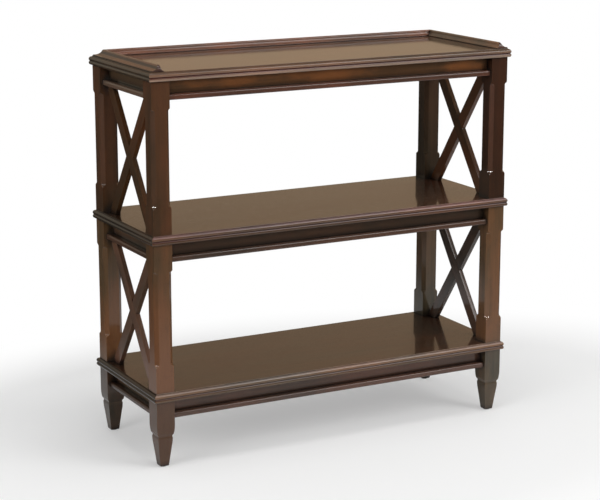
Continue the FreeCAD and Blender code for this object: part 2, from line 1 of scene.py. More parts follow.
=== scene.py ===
import bpy, bmesh, math, random
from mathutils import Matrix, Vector


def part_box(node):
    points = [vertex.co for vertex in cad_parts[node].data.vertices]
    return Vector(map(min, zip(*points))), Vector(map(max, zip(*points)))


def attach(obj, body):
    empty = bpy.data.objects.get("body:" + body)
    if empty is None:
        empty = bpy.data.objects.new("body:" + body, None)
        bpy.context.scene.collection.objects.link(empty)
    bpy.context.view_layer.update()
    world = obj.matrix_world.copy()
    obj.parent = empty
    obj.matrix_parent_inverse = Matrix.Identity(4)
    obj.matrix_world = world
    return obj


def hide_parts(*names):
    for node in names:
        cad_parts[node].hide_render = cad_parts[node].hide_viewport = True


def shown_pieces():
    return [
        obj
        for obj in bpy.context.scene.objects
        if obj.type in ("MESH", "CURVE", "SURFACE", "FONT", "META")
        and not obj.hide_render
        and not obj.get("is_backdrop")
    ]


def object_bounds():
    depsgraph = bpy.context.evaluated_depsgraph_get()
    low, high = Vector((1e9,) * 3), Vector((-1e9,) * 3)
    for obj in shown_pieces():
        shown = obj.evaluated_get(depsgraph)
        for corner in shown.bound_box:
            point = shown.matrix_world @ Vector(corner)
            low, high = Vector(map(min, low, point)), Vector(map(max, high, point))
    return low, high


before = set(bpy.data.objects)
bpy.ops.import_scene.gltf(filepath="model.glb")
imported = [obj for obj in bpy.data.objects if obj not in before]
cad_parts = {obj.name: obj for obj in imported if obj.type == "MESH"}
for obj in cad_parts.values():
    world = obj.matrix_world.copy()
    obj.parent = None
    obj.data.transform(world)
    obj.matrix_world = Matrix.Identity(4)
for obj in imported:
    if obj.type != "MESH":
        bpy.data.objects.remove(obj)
cadLow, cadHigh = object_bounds()
print("frame loaded:", len(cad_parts), "nodes")

random.seed(7)
mm = 0.001
quarter = math.pi / 2


def addNode(tree, kind, at, **values):
    node = tree.nodes.new(kind)
    node.location = at
    for key, value in values.items():
        setattr(node, key, value)
    return node


def plug(tree, source, target):
    tree.links.new(source, target)


def newGroup(name, inputs, outputs):
    group = bpy.data.node_groups.new(name, "ShaderNodeTree")
    for label, kind, default in inputs:
        socket = group.interface.new_socket(label, in_out="INPUT", socket_type=kind)
        if default is not None:
            socket.default_value = default
    for label, kind in outputs:
        group.interface.new_socket(label, in_out="OUTPUT", socket_type=kind)
    start = addNode(group, "NodeGroupInput", (-1400, 0))
    end = addNode(group, "NodeGroupOutput", (900, 0))
    return group, start, end


def mathNode(tree, kind, a, b, at, clamp=False):
    node = addNode(tree, "ShaderNodeMath", at, operation=kind, use_clamp=clamp)
    for socket, value in zip(node.inputs, (a, b)):
        if isinstance(value, (int, float)):
            socket.default_value = value
        else:
            plug(tree, value, socket)
    return node.outputs[0]


def remap(tree, source, low, high, at, outLow=0.0, outHigh=1.0):
    node = addNode(tree, "ShaderNodeMapRange", at, interpolation_type="SMOOTHSTEP")
    plug(tree, source, node.inputs["Value"])
    ends = {"From Min": low, "From Max": high, "To Min": outLow, "To Max": outHigh}
    for label, value in ends.items():
        node.inputs[label].default_value = value
    return node.outputs["Result"]


def mixColour(tree, factor, a, b, at, blend="MIX"):
    node = addNode(tree, "ShaderNodeMix", at, data_type="RGBA", blend_type=blend)
    for label, value in ((0, factor), (6, a), (7, b)):
        socket = node.inputs[label]
        if isinstance(value, (int, float)):
            socket.default_value = value
        elif isinstance(value, (tuple, list)):
            socket.default_value = (*value, 1.0)
        else:
            plug(tree, value, socket)
    return node.outputs[2]


grain = {
    "detail": 4.0, "breakup": 0.55,          # of every noise in it
    "streakWander": 0.35, "ribbonWander": 0.6, "patchWander": 0.2,
    "ribbonWidths": 5.0,                     # a ribbon is this many streaks wide
    "patchLengths": 2.5, "poreLengths": 22.0,  # in their own widths
    "streakShare": 0.6, "streakSpread": (0.36, 0.64),
    "patchSpread": (0.38, 0.62), "poreSpread": (0.58, 0.70),
    "streakRelief": 0.35,                    # against a pore's depth
}
# of the streaks, the patches and the pores, where a wood doesn't say otherwise
texture = {"width": 7 * mm, "length": 350 * mm, "patch": 160 * mm, "pore": 0.6 * mm}


# Straight-grained hardwood: the grain runs along the X of the vector that comes in.
def makeGrainGroup():
    group, start, end = newGroup(
        "stainedGrain",
        [("Vector", "NodeSocketVector", None),
         ("Streak Width", "NodeSocketFloat", texture["width"]),
         ("Streak Length", "NodeSocketFloat", texture["length"]),
         ("Patch Size", "NodeSocketFloat", texture["patch"]),
         ("Pore Width", "NodeSocketFloat", texture["pore"])],
        [("Streaks", "NodeSocketFloat"), ("Patches", "NodeSocketFloat"),
         ("Pores", "NodeSocketFloat"), ("Height", "NodeSocketFloat")])

    def stretched(width, length, at, wander=0.0):
        inverseLength = mathNode(group, "DIVIDE", 1.0, length, (at[0] - 600, at[1] + 60))
        inverseWidth = mathNode(group, "DIVIDE", 1.0, width, (at[0] - 600, at[1] - 60))
        scale = addNode(group, "ShaderNodeCombineXYZ", (at[0] - 420, at[1]))
        plug(group, inverseLength, scale.inputs[0])
        plug(group, inverseWidth, scale.inputs[1])
        plug(group, inverseWidth, scale.inputs[2])
        times = addNode(group, "ShaderNodeVectorMath", (at[0] - 220, at[1]), operation="MULTIPLY")
        plug(group, start.outputs["Vector"], times.inputs[0])
        plug(group, scale.outputs[0], times.inputs[1])
        noise = addNode(group, "ShaderNodeTexNoise", at)
        noise.inputs["Scale"].default_value = 1.0
        noise.inputs["Detail"].default_value = grain["detail"]
        noise.inputs["Roughness"].default_value = grain["breakup"]
        noise.inputs["Distortion"].default_value = wander
        plug(group, times.outputs[0], noise.inputs["Vector"])
        return noise.outputs["Fac"]

    streakWidth = start.outputs["Streak Width"]
    streakLength = start.outputs["Streak Length"]
    streaks = stretched(streakWidth, streakLength, (-300, 500), grain["streakWander"])
    ribbonWidth = mathNode(group, "MULTIPLY", streakWidth, grain["ribbonWidths"], (-1150, 250))
    ribbons = stretched(ribbonWidth, streakLength, (-300, 250), grain["ribbonWander"])
    fine = mathNode(group, "MULTIPLY", streaks, grain["streakShare"], (-50, 500))
    broad = mathNode(group, "MULTIPLY", ribbons, 1.0 - grain["streakShare"], (-50, 300))
    both = mathNode(group, "ADD", fine, broad, (150, 420))
    patchSize = start.outputs["Patch Size"]
    patchLength = mathNode(group, "MULTIPLY", patchSize, grain["patchLengths"], (-1150, 0))
    patches = stretched(patchSize, patchLength, (-300, 0), grain["patchWander"])
    poreWidth = start.outputs["Pore Width"]
    poreLength = mathNode(group, "MULTIPLY", poreWidth, grain["poreLengths"], (-1150, -260))
    pores = stretched(poreWidth, poreLength, (-300, -260))
    poreMask = remap(group, pores, *grain["poreSpread"], (-50, -260))
    plug(group, remap(group, both, *grain["streakSpread"], (350, 420)), end.inputs["Streaks"])
    plug(group, remap(group, patches, *grain["patchSpread"], (-50, 0)), end.inputs["Patches"])
    plug(group, poreMask, end.inputs["Pores"])
    relief = mathNode(group, "MULTIPLY", both, grain["streakRelief"], (150, -80))
    plug(group, mathNode(group, "SUBTRACT", relief, poreMask, (350, -120)), end.inputs["Height"])
    return group


edgeWearAndShade = {
    "bend": (0.01, 0.22),       # how far the rounded normal turns, from flat to fully rubbed
    "patchy": (0.35, 0.68), "leastWorn": 0.15,
    "glazeAndShadeFrom": (0.10, 0.5),   # how closed in a corner is, from clean to full of glaze and painted shade
    "keepClear": 2.0,           # rubbing stops well before the glaze and painted shade
    "noiseDetail": 3.0, "bevelSamples": 4, "cornerSamples": 6,
    "reach": 2.5 * mm, "cornerReach": 18 * mm, "breakup": 22.0,
}


# Where hands rub stain off the edges, and where the corners go dark: dark glaze, and painted shade
# where the corners are closed in.
def makeEdgeGroup():
    group, start, end = newGroup(
        "rubbedEdges",
        [("Vector", "NodeSocketVector", None), ("Reach", "NodeSocketFloat", edgeWearAndShade["reach"]),
         ("Corner Reach", "NodeSocketFloat", edgeWearAndShade["cornerReach"]),
         ("Breakup", "NodeSocketFloat", edgeWearAndShade["breakup"])],
        [("Rubbed", "NodeSocketFloat"), ("Settled", "NodeSocketFloat")])
    rounded = addNode(group, "ShaderNodeBevel", (-900, 300), samples=edgeWearAndShade["bevelSamples"])
    plug(group, start.outputs["Reach"], rounded.inputs["Radius"])
    surface = addNode(group, "ShaderNodeNewGeometry", (-900, 120))
    alike = addNode(group, "ShaderNodeVectorMath", (-700, 240), operation="DOT_PRODUCT")
    plug(group, rounded.outputs[0], alike.inputs[0])
    plug(group, surface.outputs["Normal"], alike.inputs[1])
    bent = mathNode(group, "SUBTRACT", 1.0, alike.outputs["Value"], (-500, 240))
    edge = remap(group, bent, *edgeWearAndShade["bend"], (-300, 240))
    noise = addNode(group, "ShaderNodeTexNoise", (-500, 0))
    noise.inputs["Detail"].default_value = edgeWearAndShade["noiseDetail"]
    plug(group, start.outputs["Vector"], noise.inputs["Vector"])
    plug(group, start.outputs["Breakup"], noise.inputs["Scale"])
    worn = remap(group, noise.outputs["Fac"], *edgeWearAndShade["patchy"], (-300, 0), edgeWearAndShade["leastWorn"])
    corner = addNode(group, "ShaderNodeAmbientOcclusion", (-700, -300),
                     samples=edgeWearAndShade["cornerSamples"])
    plug(group, start.outputs["Corner Reach"], corner.inputs["Distance"])
    closed = mathNode(group, "SUBTRACT", 1.0, corner.outputs["AO"], (-500, -300), True)
    nearCorner = mathNode(group, "MULTIPLY", closed, edgeWearAndShade["keepClear"], (-300, -200), True)
    clear = mathNode(group, "SUBTRACT", 1.0, nearCorner, (-100, -200), True)
    wornEdge = mathNode(group, "MULTIPLY", edge, worn, (-50, 150))
    plug(group, mathNode(group, "MULTIPLY", wornEdge, clear, (150, 100)), end.inputs["Rubbed"])
    plug(group, remap(group, closed, *edgeWearAndShade["glazeAndShadeFrom"], (150, -300)), end.inputs["Settled"])
    return group


grainGroup = makeGrainGroup()
edgeGroup = makeEdgeGroup()

# dark stain under clear polished lacquer
lacquer = {
    "dark": (0.080, 0.041, 0.020),
    "mid": (0.128, 0.057, 0.025),
    "warm": (0.225, 0.070, 0.026),      # patches where the stain took less
    "rubbed": (0.30, 0.125, 0.045),     # on edges
    "glazeAndShade": (0.022, 0.011, 0.007),   # in pores, and in corners as glaze and painted shade
    "patchShare": 0.7,
    "poreShare": 0.5,
    "glazeAndShadeShare": 0.9,
    "rubbedShare": 0.45,
    "streakWidth": 7 * mm,
    "streakLength": 350 * mm,
    "patchSize": 130 * mm,
    "poreWidth": 0.6 * mm,
    "roughness": 0.42,
    "patchRoughness": 0.06,             # added where the wood is bare of stain
    "settledRoughness": 0.2,            # added in the corners
    "sheen": 0.12,                      # specular level of the stained wood itself
    "coat": 1.0,
    "coatIor": 1.4,
    "coatRoughness": 0.09,
    "bump": 0.05 * mm,                  # depth of the pores
    "shift": (0, 0, 0),                 # moves the figure along a piece
}


def makeWood(name, turn=(0, 0, 0), **changes):
    look = {**lacquer, **changes}
    material = bpy.data.materials.new(name)
    material.use_nodes = True
    tree = material.node_tree
    tree.nodes.clear()
    coords = addNode(tree, "ShaderNodeTexCoord", (-1500, 0))
    mapping = addNode(tree, "ShaderNodeMapping", (-1300, 0))
    mapping.inputs["Rotation"].default_value = turn
    mapping.inputs["Location"].default_value = look["shift"]
    plug(tree, coords.outputs["Object"], mapping.inputs["Vector"])
    figure = addNode(tree, "ShaderNodeGroup", (-1050, 150), node_tree=grainGroup)
    for label, key in (("Streak Width", "streakWidth"), ("Streak Length", "streakLength"),
                       ("Patch Size", "patchSize"), ("Pore Width", "poreWidth")):
        figure.inputs[label].default_value = look[key]
    plug(tree, mapping.outputs[0], figure.inputs["Vector"])
    edges = addNode(tree, "ShaderNodeGroup", (-1050, -250), node_tree=edgeGroup)
    plug(tree, coords.outputs["Object"], edges.inputs["Vector"])

    base = mixColour(tree, figure.outputs["Streaks"], look["dark"], look["mid"], (-800, 300))
    patches, pores = figure.outputs["Patches"], figure.outputs["Pores"]
    glazeAndShade, rubbed = edges.outputs["Settled"], edges.outputs["Rubbed"]
    patchShare = mathNode(tree, "MULTIPLY", patches, look["patchShare"], (-800, 100))
    base = mixColour(tree, patchShare, base, look["warm"], (-600, 260))
    poreShare = mathNode(tree, "MULTIPLY", pores, look["poreShare"], (-600, 60))
    base = mixColour(tree, poreShare, base, look["glazeAndShade"], (-400, 220))
    # glaze and painted shade darken the closed-in corners
    glazeAndShadeShare = mathNode(tree, "MULTIPLY", glazeAndShade, look["glazeAndShadeShare"], (-600, -200))
    base = mixColour(tree, glazeAndShadeShare, base, look["glazeAndShade"], (-200, 180))
    rubbedShare = mathNode(tree, "MULTIPLY", rubbed, look["rubbedShare"], (-600, -380))
    base = mixColour(tree, rubbedShare, base, look["rubbed"], (0, 140))
    # the stain's tone, with painted highlights and shade on some faces
    tone = addNode(tree, "ShaderNodeAttribute", (-200, 420), attribute_name="stainTone")
    base = mixColour(tree, 1.0, base, tone.outputs["Color"], (120, 260), "MULTIPLY")

    patchRoughness = mathNode(tree, "MULTIPLY", patches, look["patchRoughness"], (-400, -80))
    settledRoughness = mathNode(tree, "MULTIPLY", glazeAndShade, look["settledRoughness"], (-400, -250))
    roughness = mathNode(tree, "ADD", patchRoughness, look["roughness"], (-200, -80))
    roughness = mathNode(tree, "ADD", roughness, settledRoughness, (0, -100))
    bump = addNode(tree, "ShaderNodeBump", (0, -320))
    bump.inputs["Distance"].default_value = look["bump"]
    bump.inputs["Strength"].default_value = 1.0
    plug(tree, figure.outputs["Height"], bump.inputs["Height"])

    shader = addNode(tree, "ShaderNodeBsdfPrincipled", (250, 100))
    plug(tree, base, shader.inputs["Base Color"])
    plug(tree, roughness, shader.inputs["Roughness"])
    plug(tree, bump.outputs[0], shader.inputs["Normal"])
    shader.inputs["Specular IOR Level"].default_value = look["sheen"]
    shader.inputs["Coat Weight"].default_value = look["coat"]
    shader.inputs["Coat Roughness"].default_value = look["coatRoughness"]
    shader.inputs["Coat IOR"].default_value = look["coatIor"]
    out = addNode(tree, "ShaderNodeOutputMaterial", (550, 100))
    plug(tree, shader.outputs[0], out.inputs["Surface"])
    return material


easing = {
    "width": 0.7 * mm, "segments": 2,
    "sharpAngle": math.radians(34),         # edges that bend more than this are eased
    "flatWithin": math.radians(0.6),        # facets closer than this become one face
    "shadeAngle": math.radians(38),
    "weld": 0.001 * mm, "holeMargin": 0.6 * mm,
}
corners = ("front_left", "front_right", "back_left", "back_right")
tiers = ("bottom", "middle", "top")
bays = ("lower", "upper")


# rims of dowel and screw holes are inside the joints and stay sharp
def holeBoxes():
    boxes = []
    margin = Vector((easing["holeMargin"],) * 3)
    for name in ("post_dowels", "apron_dowels", "brace_dowels", "gallery_dowels",
                 "corner_block_screws"):
        bm = bmesh.new()
        bm.from_mesh(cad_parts[name].data)
        bmesh.ops.remove_doubles(bm, verts=bm.verts, dist=easing["weld"])
        left = set(bm.verts)
        while left:
            pin, todo = set(), [left.pop()]
            while todo:
                vert = todo.pop()
                pin.add(vert)
                for edge in vert.link_edges:
                    other = edge.other_vert(vert)
                    if other in left:
                        left.discard(other)
                        todo.append(other)
            low = Vector(min(v.co[i] for v in pin) for i in range(3))
            high = Vector(max(v.co[i] for v in pin) for i in range(3))
            boxes.append((low - margin, high + margin))
        bm.free()
    return boxes


holes = holeBoxes()


def nearHole(point):
    return any(all(low[i] <= point[i] <= high[i] for i in range(3)) for low, high in holes)


# a tone for a place in the name: the longest place that fits wins, "" fits all
def pick(tones, node):
    return tones[max((place for place in tones if place in node), key=len)]


# least part of a face's normal that counts as facing that way
facing = {"level": 0.95, "diagonal": 0.4, "outward": 0.62, "forward": 0.3}


# Painted light on moulded edges, chamfers and ends: painted highlights on the shelves' long edges and
# on some chamfers, painted shade on the shelves' short edges, in the gallery's hollows and on its side
# rails' front ends.
# drop: how far the face lies below the piece's top
def paintedLightTone(face, drop, node, look):
    normal = face.normal
    across, deep = abs(normal.x), abs(normal.y)
    if "longEdgeLightAndShade" in look and abs(normal.z) < facing["level"]:
        band = sum(drop > end for end in look["bands"])
        return pick(look["longEdgeLightAndShade"], node)[band] if deep > across else look["shortEdgeShade"]
    if "chamfers" in look and min(across, deep) > facing["diagonal"]:
        return pick(look["chamfers"], node)
    if "hollowShade" in look:
        outward = {"back": normal.y, "left": -normal.x, "right": normal.x}[node.split("_")[-1]]
        if outward > facing["outward"] and drop > look["beadHeight"]:
            return look["hollowShade"]
        if normal.y < -facing["forward"] and "back" not in node:
            return look["frontEnds"]
    return (1.0, 1.0, 1.0)


unevenStain = (0.95, 1.05)


# the stain was wiped on by hand, so each piece took it up a little differently; moulded edges, chamfers
# and ends also get painted highlights and shade
def stainAndPaintLight(mesh, node, look):
    shade = random.uniform(*unevenStain)
    tone = pick(look["tones"], node)
    top = max(vert.co.z for vert in mesh.vertices)
    layer = mesh.attributes.new("stainTone", "FLOAT_COLOR", "CORNER")
    colours = []
    for face in mesh.polygons:
        extra = paintedLightTone(face, top - face.center.z, node, look)
        colours += [*(c * shade * e for c, e in zip(tone, extra)), 1.0] * face.loop_total
    layer.data.foreach_set("color", colours)


def title(node):
    first, *rest = node.split("_")
    return first + "".join(word.capitalize() for word in rest)


# A node's own shape with its sharp outer edges eased, its faces stained and some of them given painted
# highlights and shade.
def easeCopy(node, look, wood):
    name = title(node)
    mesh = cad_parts[node].data.copy()
    mesh.name = name
    bm = bmesh.new()
    bm.from_mesh(mesh)
    bmesh.ops.remove_doubles(bm, verts=bm.verts, dist=easing["weld"])
    bmesh.ops.dissolve_limit(bm, angle_limit=easing["flatWithin"], verts=bm.verts, edges=bm.edges,
                             delimit={"NORMAL"})
    sharp = [e for e in bm.edges if len(e.link_faces) == 2 and e.is_convex
             and e.calc_face_angle(0) > easing["sharpAngle"]
             and not (nearHole(e.verts[0].co) and nearHole(e.verts[1].co))]
    bmesh.ops.bevel(bm, geom=sharp, offset=easing["width"], offset_type="OFFSET", affect="EDGES",
                    segments=easing["segments"], profile=0.5, material=-1, clamp_overlap=True)
    bm.to_mesh(mesh)
    bm.free()
    mesh.materials.clear()
    mesh.materials.append(wood)
    stainAndPaintLight(mesh, node, look)
    for attribute in [a for a in mesh.attributes if a.name == "custom_normal"]:
        mesh.attributes.remove(attribute)
    mesh.shade_smooth()
    mesh.set_sharp_from_angle(angle=easing["shadeAngle"])
    piece = bpy.data.objects.new(name, mesh)
    bpy.context.scene.collection.objects.link(piece)
    weighted = piece.modifiers.new("flatFacesStayFlat", "WEIGHTED_NORMAL")
    weighted.keep_sharp = True
    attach(piece, "root")
    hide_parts(node)
    return piece


feet = {
    "slot": "frame_wood",
    "tones": {"": (0.38, 0.5, 0.6), "front_right": (0.55, 0.95, 1.3), "back_left": (0.4, 0.6, 0.8)},
}
posts = {
    "slot": "frame_wood",
    "streakLength": 250 * mm,
    "tones": {"lower": (0.72, 0.84, 0.78), "lower_post_front_right": (0.76, 0.93, 0.9),
              # lower_post_back_right is paler and greyer: a painted reflection on its left face
              "lower_post_back_left": (0.84, 1.04, 1.0), "lower_post_back_right": (0.6, 0.95, 1.15),
              "upper": (0.44, 0.48, 0.44), "upper_post_front_right": (0.23, 0.22, 0.21),
              "upper_post_back_right": (0.33, 0.5, 0.62)},
    # painted highlights: the front-right posts' chamfers are lightened to stand in for the lacquer's
    # reflection
    "chamfers": {"": (1.0, 1.0, 1.0), "upper_post_front_right": (2.0, 1.95, 2.1),
                 "lower_post_front_right": (1.2, 1.15, 1.1)},
}
postWood = makeWood("postWood", (0, quarter, 0), streakLength=posts["streakLength"])
for corner in corners:
    easeCopy(f"foot_{corner}", feet, postWood)
    for bay in bays:
        easeCopy(f"{bay}_post_{corner}", posts, postWood)
print("feet and posts eased and stained")

shelves = {
    "slot": "slab_wood",
    "patchSize": 200 * mm,
    "patchShare": 0.55,
    "tones": {"bottom": (0.34, 0.3, 0.3), "middle": (0.36, 0.34, 0.36), "top": (0.6, 0.68, 0.78)},
    "bands": (5.5 * mm, 10 * mm, 15 * mm),  # where an edge's painted highlight and shade change, down from the top
    # long edges: painted highlights on the upper bead and the lowest band, painted shade in the groove
    # between the beads
    "longEdgeLightAndShade": {"bottom": ((4.4, 8.8, 16.0), (3.0, 4.8, 6.2), (1.0, 0.9, 0.8), (2.1, 3.5, 4.4)),
                  "middle": ((3.4, 5.0, 9.5), (2.1, 2.6, 3.0), (0.9, 0.4, 0.2), (1.5, 1.7, 1.6)),
                  "top": ((1.2, 1.4, 1.6), (2.2, 2.6, 3.2), (0.8, 0.3, 0.1), (3.2, 4.6, 6.6))},
    # short end edges darker and greyer than the front: painted shade
    "shortEdgeShade": (0.55, 0.75, 0.85),
}
shelfWood = makeWood("shelfWood", patchSize=shelves["patchSize"], patchShare=shelves["patchShare"])
for node in ("bottom_shelf", "middle_shelf", "top_panel"):
    easeCopy(node, shelves, shelfWood)
print("shelves eased and stained")

apronBoards = {
    "slot": "apron_wood",
    "tones": {"top": (0.92, 0.93, 0.82), "top_left": (0.42, 0.7, 0.87),
              "middle": (0.36, 0.5, 0.64), "middle_left": (0.46, 0.72, 1.0),
              "bottom": (0.6, 0.68, 0.9), "bottom_left": (0.85, 1.2, 1.5)},
    "topFront": {"warm": (0.27, 0.092, 0.028), "patchSize": 60 * mm, "patchShare": 0.85,
                 "shift": (0.35, 0, 0)},     # blotchy, most of all at the left
}
beadStrips = {
    "slot": "apron_wood",
    "tones": {"top": (0.6, 0.62, 0.9), "top_left": (0.64, 1.1, 1.8), "middle": (0.42, 0.58, 0.88),
              "bottom": (0.49, 0.67, 1.1), "bottom_left": (0.28, 0.34, 0.5)},
}
boardWood = makeWood("apronWood")
endBoardWood = makeWood("apronWoodEnds", (0, 0, -quarter))
topFrontWood = makeWood("apronWoodTop", **apronBoards["topFront"])
for tier in tiers:
    for side in ("front", "right", "back", "left"):
        wood = boardWood if side in ("front", "back") else endBoardWood
        board = topFrontWood if (tier, side) == ("top", "front") else wood
        easeCopy(f"apron_board_{tier}_{side}", apronBoards, board)
        easeCopy(f"bead_strip_{tier}_{side}", beadStrips, wood)
print("aprons eased and stained")

braces = {
    "slot": "brace_wood",
    "tones": {"upper": (0.5, 0.52, 0.45), "lower": (0.45, 0.66, 1.05), "lower_left": (0.7, 0.95, 1.4)},
}
for bay in bays:
    low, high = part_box(f"brace_{bay}_left_to_back")
    tilt = math.atan2(high.z - low.z, high.y - low.y)
    for way, lean in (("back", -tilt), ("front", tilt)):
        wood = makeWood(f"{bay}BraceWoodTo{way.capitalize()}", (lean, 0, -quarter))
        for end in ("left", "right"):
            easeCopy(f"brace_{bay}_{end}_to_{way}", braces, wood)
print("braces eased and stained")

gallery = {
    "slot": "gallery_wood",
    # the back and right rails are tinted lighter and greyer: painted light on the back rail's inner
    # face, a painted reflection on the right rail
    "tones": {"": (0.72, 1.05, 1.5), "back": (1.0, 1.2, 1.8), "right": (1.2, 1.8, 2.5)},
    "beadHeight": 3.5 * mm,
    "hollowShade": (0.3, 0.31, 0.34),           # painted shade in the hollow under the bead
    # the side rails' front ends are darkened: painted shade
    "frontEnds": (0.35, 0.33, 0.45),
}
railWood = makeWood("galleryWood")
endRailWood = makeWood("galleryWoodEnds", (0, 0, -quarter))
for side in ("back", "left", "right"):
    easeCopy(f"gallery_rail_{side}", gallery, railWood if side == "back" else endRailWood)


specks = {"detail": 4.0, "spread": (0.3, 0.7)}


# zinc and nylon: a fine mottle, nothing more
def makePlain(name, look):
    material = bpy.data.materials.new(name)
    material.use_nodes = True
    tree = material.node_tree
    shader = tree.nodes["Principled BSDF"]
    coords = addNode(tree, "ShaderNodeTexCoord", (-800, 0))
    noise = addNode(tree, "ShaderNodeTexNoise", (-600, 0))
    noise.inputs["Scale"].default_value = look["specks"]
    noise.inputs["Detail"].default_value = specks["detail"]
    plug(tree, coords.outputs["Object"], noise.inputs["Vector"])
    plug(tree, mixColour(tree, noise.outputs["Fac"], look["dark"], look["light"], (-400, 100)),
         shader.inputs["Base Color"])
    plug(tree, remap(tree, noise.outputs["Fac"], *specks["spread"], (-400, -150), *look["roughness"]),
         shader.inputs["Roughness"])
    shader.inputs["Metallic"].default_value = look["metallic"]
    return material


screws = {"dark": (0.45, 0.43, 0.36), "light": (0.6, 0.58, 0.5), "roughness": (0.29, 0.41),
          "metallic": 1.0, "specks": 300.0}
glides = {"dark": (0.07, 0.05, 0.04), "light": (0.11, 0.085, 0.065), "roughness": (0.44, 0.56),
          "metallic": 0.0, "specks": 60.0}
bareWood = {"dark": (0.36, 0.25, 0.15), "mid": (0.50, 0.36, 0.22), "warm": (0.58, 0.42, 0.26),
            "rubbed": (0.6, 0.45, 0.3), "glazeAndShade": (0.22, 0.14, 0.08), "roughness": 0.6, "coat": 0.0}

# nodes that nothing replaces keep their own shape: blocks, dowels, screws and glides
carried = {"corner_block_screws": makePlain("zincSteel", screws),
           "floor_glides": makePlain("glideNylon", glides)}
rawWood = makeWood("bareWood", (0, quarter, 0), **bareWood)
for name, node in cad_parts.items():
    if not node.hide_render:
        node.data.materials.clear()
        node.data.materials.append(carried.get(name, rawWood))
print("hidden parts finished")

floorSheet = {
    "radius": 14.0, "sides": 96, "under": 0.2 * mm,
    "colour": (0.93, 0.93, 0.925),
    "pool": (0.62, 1.35), "poolSquash": 1.4,   # shadows are real inside this oval, then fade
    "lift": 0.35,                              # least share of plain white that the camera sees
}


def isBackground(tree, path, at):
    seen = mathNode(tree, "MAXIMUM", path.outputs["Is Camera Ray"], path.outputs["Is Glossy Ray"], at)
    return mathNode(tree, "MAXIMUM", seen, path.outputs["Is Transmission Ray"], (at[0] + 200, at[1]))


def makeFloor():
    bm = bmesh.new()
    bmesh.ops.create_circle(bm, cap_ends=True, segments=floorSheet["sides"],
                             radius=floorSheet["radius"])
    mesh = bpy.data.meshes.new("studioFloor")
    bm.to_mesh(mesh)
    bm.free()
    floor = bpy.data.objects.new("studioFloor", mesh)
    bpy.context.scene.collection.objects.link(floor)
    floor.location.z = -floorSheet["under"]
    material = bpy.data.materials.new("paleSheet")
    material.use_nodes = True
    tree = material.node_tree
    tree.nodes.clear()
    coords = addNode(tree, "ShaderNodeTexCoord", (-900, 0))
    squash = addNode(tree, "ShaderNodeMapping", (-900, -100))
    squash.inputs["Scale"].default_value = (1.0, floorSheet["poolSquash"], 1.0)
    plug(tree, coords.outputs["Object"], squash.inputs["Vector"])
    far = addNode(tree, "ShaderNodeVectorMath", (-700, 0), operation="LENGTH")
    plug(tree, squash.outputs[0], far.inputs[0])
    fade = remap(tree, far.outputs["Value"], *floorSheet["pool"], (-500, 0))
    path = addNode(tree, "ShaderNodeLightPath", (-700, 400))
    share = mathNode(tree, "MULTIPLY", isBackground(tree, path, (-450, 400)), fade, (-50, 200))
    lift = mathNode(tree, "MULTIPLY", path.outputs["Is Camera Ray"], floorSheet["lift"], (-250, 300))
    share = mathNode(tree, "MAXIMUM", share, lift, (50, 250))
    pale = addNode(tree, "ShaderNodeBsdfDiffuse", (-50, 0))
    pale.inputs["Color"].default_value = (*floorSheet["colour"], 1)
    glow = addNode(tree, "ShaderNodeEmission", (-50, -150))
    mix = addNode(tree, "ShaderNodeMixShader", (200, 100))
    plug(tree, share, mix.inputs[0])
    plug(tree, pale.outputs[0], mix.inputs[1])
    plug(tree, glow.outputs[0], mix.inputs[2])
    out = addNode(tree, "ShaderNodeOutputMaterial", (400, 100))
    plug(tree, mix.outputs[0], out.inputs["Surface"])
    mesh.materials.append(material)
    floor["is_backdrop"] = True


air = {"white": (1.0, 1.0, 1.0), "ambient": 0.34}


def makeAir():
    world = bpy.data.worlds.new("studioAir")
    bpy.context.scene.world = world
    world.use_nodes = True
    tree = world.node_tree
    tree.nodes.clear()
    path = addNode(tree, "ShaderNodeLightPath", (-900, 200))
    seen = isBackground(tree, path, (-700, 200))
    extra = mathNode(tree, "MULTIPLY", seen, 1.0 - air["ambient"], (-300, 200))
    back = addNode(tree, "ShaderNodeBackground", (100, 100))
    back.inputs["Color"].default_value = (*air["white"], 1)
    plug(tree, mathNode(tree, "ADD", extra, air["ambient"], (-100, 200)), back.inputs["Strength"])
    out = addNode(tree, "ShaderNodeOutputWorld", (300, 100))
    plug(tree, back.outputs[0], out.inputs["Surface"])


# The room round the white sheet is a glowing shell that only the polish sees: a painted reflection, so
# it gives no light.
room = {
    "radius": 9.0, "smoothness": 4, "above": 0.4 * mm, "wallFoot": 0.0005,
    "sheetEdge": (0.5, 1.45), "sheetCentre": (0.1, -0.1, 0.0),
    "darkFloor": (0.03, 0.027, 0.024),
    "frontSheet": (0.7, 0.69, 0.66),           # painted reflection of a pale strip of floor in front of the table
    "frontFrom": (0.2, 0.6), "frontTo": (0.4, 2.6), "frontLeft": (-1.3, -0.5),
    "wallLow": (0.60, 0.445, 0.295), "wallHigh": (0.13, 0.06, 0.026), "wallTurn": (0.0, 0.68),
    "wallLeft": (0.37, 0.33, 0.26), "leftTurn": (-0.3, 0.25),
}


